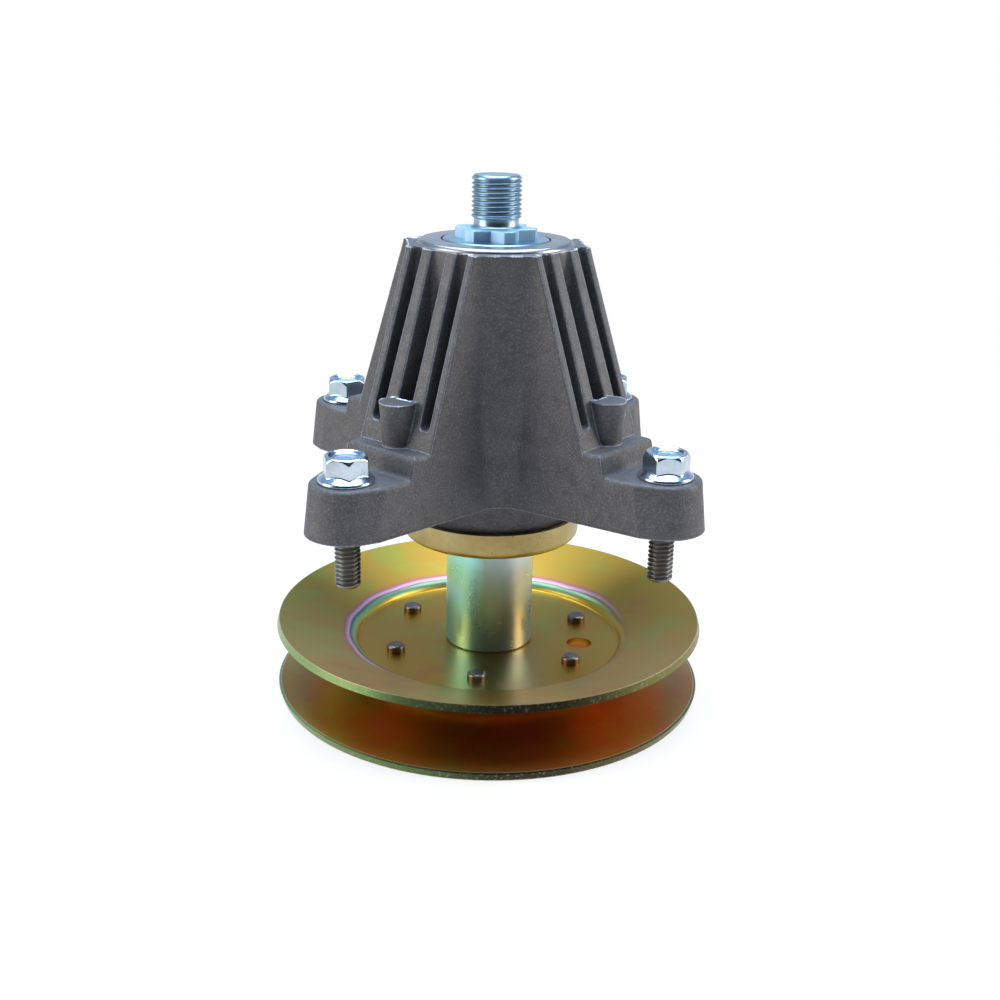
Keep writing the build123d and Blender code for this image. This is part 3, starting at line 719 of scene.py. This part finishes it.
def bolt_shank_shell(x, y):
    """Plain shank in the ear and the thread below the deck face."""
    return tube_shell(*stacked(
        rings([(BOLT_THREAD - CHAMFER, BOLT_END)], SHANK_COLS),
        thread_rings(BOLT_THREAD, BOLT_END + CHAMFER, BOLT_THREAD_TOP, SHANK_COLS, BOLT_THREAD_FADE),
        rings([(BOLT_SHANK, SHANK_START), (BOLT_SHANK, EAR_TOP + SHANK_SINK)], SHANK_COLS)), (x, y))


heads = [bolt_head_shell(*place) for place in BOLT_PLACES]
shanks = [bolt_shank_shell(x, y) for x, y, turn in BOLT_PLACES]
bolts = make_piece("flange_bolts", heads + shanks, BOLT_ZINC, "housing")
second_finish(bolts, sum(len(faces) for points, faces in heads), THREAD_STEEL)
smooth_between(bolts, BOLT_END + CHAMFER, DECK_FACE)
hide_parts("mounting_bolts")
print("bolt faces:", len(bolts.data.polygons))

# %% [markdown]
# ## Flash of the casting
#
# Where the two halves of a die meet, a thin lip of metal is squeezed out. It is sheared off
# roughly, and stays as a torn edge round the housing's top, the bosses and the foot of the gaps.
# Its pale colour is partly bright torn metal and partly a painted highlight along these edges. The
# lip follows the casting's own sharp edges, so its lines are read from the solid: level edges at
# three heights, far enough out from the axis. Sizes are in mm.

# %% Edges that carry flash
HOUSING_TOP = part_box("housing")[1][2] / MM
BOSS_TOP = 108.2
GAP_FLOOR = 100.5
FLASH_LEVELS = ((HOUSING_TOP, 25.6, 1.8), (BOSS_TOP, 38.0, 1.1), (GAP_FLOOR, 41.0, 1.4))  # level, reach, size
SAME_LEVEL = 0.01
MERGE = 0.002
UPWARD, SIDEWAYS = 0.95, 0.8  # the least Z of an upward face's normal, and the most of a side's


def flash_edges():
    """Ends, outward directions and sizes of the edges between an upward face and a side."""
    shape = bmesh.new()
    shape.from_mesh(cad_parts["housing"].data)
    bmesh.ops.remove_doubles(shape, verts=shape.verts, dist=MERGE * MM)
    found = []
    for edge in shape.edges:
        one, two = (np.array(v.co) / MM for v in edge.verts)
        if len(edge.link_faces) != 2 or abs(one[2] - two[2]) > SAME_LEVEL:
            continue
        for level, reach, size in FLASH_LEVELS:
            if abs(one[2] - level) > SAME_LEVEL or np.hypot(*((one + two) / 2)[:2]) < reach:
                continue
            flat, side = sorted(edge.link_faces, key=lambda f: -f.normal.z)
            if flat.normal.z > UPWARD and abs(side.normal.z) < SIDEWAYS:
                outward = np.array([side.normal.x, side.normal.y, 0.0])
                found.append((one, two, outward / np.linalg.norm(outward), size))
    shape.free()
    return found


edges = flash_edges()
print("flash edges:", len(edges), "on levels", [round(level, 1) for level, reach, size in FLASH_LEVELS])

# %% [markdown]
# ## The torn lip
#
# Each edge gets a strip with three sides. Its height comes from waves of the place alone, so two
# edges that share an end have the same height there, and the lip runs on round a corner.

# %% Flash
FLASH_STEP = 0.3
LIP_SHARP_DEGREES = 25
LIP_ROOT, LIP_LIFT, LIP_SIDE = 0.16, 0.005, 0.02
TIP_OUT, TIP_UP, SIDE_DOWN = (0.05, 0.16), (0.03, 0.26), (0.1, 0.3)  # fixed, and per mm of height


def lip_height(points):
    """Torn height between 0 and 1: a base and a broad wave roughened by a fine one, times a slow
    tear that drops to a tenth."""
    x, y = points[:, 0], points[:, 1]
    wave = np.abs(np.sin(3.1 * x + 1.3 * y) * np.sin(1.7 * y - 2.3 * x + 1))
    fine = np.abs(np.sin(11.3 * x - 7.9 * y))
    tear = np.clip(np.sin(0.9 * x + 0.5 * y) + 0.75, 0.1, 1)
    return (0.3 + 0.7 * wave * (0.4 + 0.6 * fine)) * tear


def lip_shell(one, two, outward, size):
    """A thin three-sided strip along one edge: root on the flat, tip out and up, root on the side.
    The tip and the side root move further from the edge where the lip is tall."""
    count = max(int(np.linalg.norm(two - one) / FLASH_STEP), 1) + 1
    share = np.linspace(0, 1, count)[:, None]
    line = one * (1 - share) + two * share
    tall = lip_height(line)[:, None] * size
    up = np.array([0, 0, 1.0])
    root = line - outward * LIP_ROOT * size + up * LIP_LIFT
    tip = line + outward * (TIP_OUT[0] + TIP_OUT[1] * tall) + up * (TIP_UP[0] + TIP_UP[1] * tall)
    side = line + outward * LIP_SIDE - up * (SIDE_DOWN[0] + SIDE_DOWN[1] * tall)
    return np.stack([root, tip, side], axis=1).reshape(-1, 3) * MM, ring_faces(count, 3)


flash = make_piece("casting_flash", [lip_shell(*edge) for edge in edges], FLASH, "housing",
                   LIP_SHARP_DEGREES)
print("flash faces:", len(flash.data.polygons))

# %% [markdown]
# ## Floor and dark card
#
# The part stands on white paper under a bluish skylight, so faces that look up are cool and
# bright. Behind the camera the room is dark: faces that look at the camera mirror it and stay
# dark, which is what gives bare metal its shape. The paper is seen white, and mirrored white too.
# White comes from the rays that see it and not from more light, so the part's own light stays.


# %% Floor and dark card
SHADOW_NEAR, SHADOW_FAR = 0.12, 0.45
GLOW_NEAR = 0.75


def seen_directly(add):
    """1 for camera, glossy and transmission rays, which see the white paper and the sky. The
    second output is 1 for camera rays alone."""
    rays = add("LightPath")
    mirrored = add("Math", {0: rays["Is Glossy Ray"], 1: rays["Is Transmission Ray"]},
                   operation="MAXIMUM")[0]
    seen = add("Math", {0: rays["Is Camera Ray"], 1: mirrored}, operation="MAXIMUM")[0]
    return seen, rays["Is Camera Ray"]


def flat_sheet(name, corners, material):
    """A plain sheet of the studio through four corners, in metres."""
    mesh = bpy.data.meshes.new(name)
    mesh.from_pydata(corners, [], [(0, 1, 2, 3)])
    mesh.materials.append(material)
    made = bpy.data.objects.new(name, mesh)
    bpy.context.scene.collection.objects.link(made)
    return made


def white_paper():
    """Paper that keeps a soft shadow near the part: the glow's share for rays that see it grows
    with the distance from the axis, in metres, until all of it glows."""
    material, add = new_material("white_paper")
    seen = seen_directly(add)[0]
    place = add("TexCoord")["Object"]
    away = add("VectorMath", {0: place}, operation="LENGTH")["Value"]
    white = add("MapRange", {"Value": away, "From Min": SHADOW_NEAR, "From Max": SHADOW_FAR,
                             "To Min": GLOW_NEAR, "To Max": 1.0})[0]
    share = add("Math", {0: seen, 1: white}, operation="MULTIPLY")[0]
    paper = add("BsdfDiffuse", {"Color": "#f0f0f0"})[0]
    glow = add("Emission", {"Color": "#ffffff", "Strength": 1.0})[0]
    mixed = add("MixShader", {0: share, 1: paper, 2: glow})[0]
    add("OutputMaterial", {"Surface": mixed})
    return material


def dark_cloth():
    """Nearly black cloth, for the room behind the camera."""
    material, add = new_material("dark_card")
    add("OutputMaterial", {"Surface": add("BsdfDiffuse", {"Color": "#26241f"})[0]})
    return material


flat_sheet("floor", [(-6, -6, 0), (6, -6, 0), (6, 6, 0), (-6, 6, 0)], white_paper())
card = flat_sheet("dark_card", [(-1.6, -1, 0.02), (1.6, -1, 0.02), (1.6, -1, 1.5), (-1.6, -1, 1.5)],
                  dark_cloth())
card.visible_camera = False

# %% [markdown]
# ## Sky
#
# The world is what metal mirrors: white at the horizon, cooler and dimmer overhead. Rays that only
# spread light see one even grey, and the camera sees plain white.

# %% World
world = bpy.data.worlds.new("studio")
bpy.context.scene.world = world
world.use_nodes = True
world.node_tree.nodes.clear()
add = functools.partial(add_node, world.node_tree)
seen, camera_ray = seen_directly(add)
height = add("SeparateXYZ", {0: add("TexCoord")["Generated"]})[2]
sky = add("ValToRGB", {0: height}, [
    (0.0, "#ffffff"), (0.05, "#e9f0f7"), (0.2, "#bcd2e7"), (0.5, "#8aaed2"), (1.0, "#7fa6cf")])[0]
colour = add("Mix", {0: seen, 6: "#9fa6ae", 7: sky}, data_type="RGBA")[2]
colour = add("Mix", {0: camera_ray, 6: colour, 7: "#ffffff"}, data_type="RGBA")[2]
light = add("Background", {"Color": colour, "Strength": 1.0})[0]
add("OutputWorld", {"Surface": light})
print("nodes in the sky:", len(world.node_tree.nodes))

# %% [markdown]
# ## Lamps
#
# A broad skylight overhead does most of the work, and two weak warm panels at the sides open the
# flanks. They are large against the part, so the shadows stay soft.

# %% Lamps
AIM = Vector((0, 0, 80)) * MM


def lamp(name, place_mm, size_mm, watts, code):
    """A soft rectangular lamp at a place, turned so that its -Z looks at the aim."""
    data = bpy.data.lights.new(name, "AREA")
    data.shape = "RECTANGLE"
    data.size, data.size_y = size_mm[0] * MM, size_mm[1] * MM
    data.energy = watts
    data.color = linear(code)[:3]
    made = bpy.data.objects.new(name, data)
    bpy.context.scene.collection.objects.link(made)
    place = Vector(place_mm) * MM
    turn = (AIM - place).to_track_quat("-Z", "Y").to_matrix().to_4x4()
    made.matrix_world = Matrix.Translation(place) @ turn


lamp("skylight", (0, 110, 900), (900, 900), 19, "#cbe0ff")
lamp("left", (-900, -150, 420), (500, 700), 5, "#fff6ec")
lamp("right", (900, -100, 420), (400, 600), 5, "#fff6ec")
bpy.context.scene.view_settings.view_transform = "Standard"
print("lamps:", len(bpy.data.lights))

# %% [markdown]
# ## Finish
#

# %% Finish
print("scene dressed")
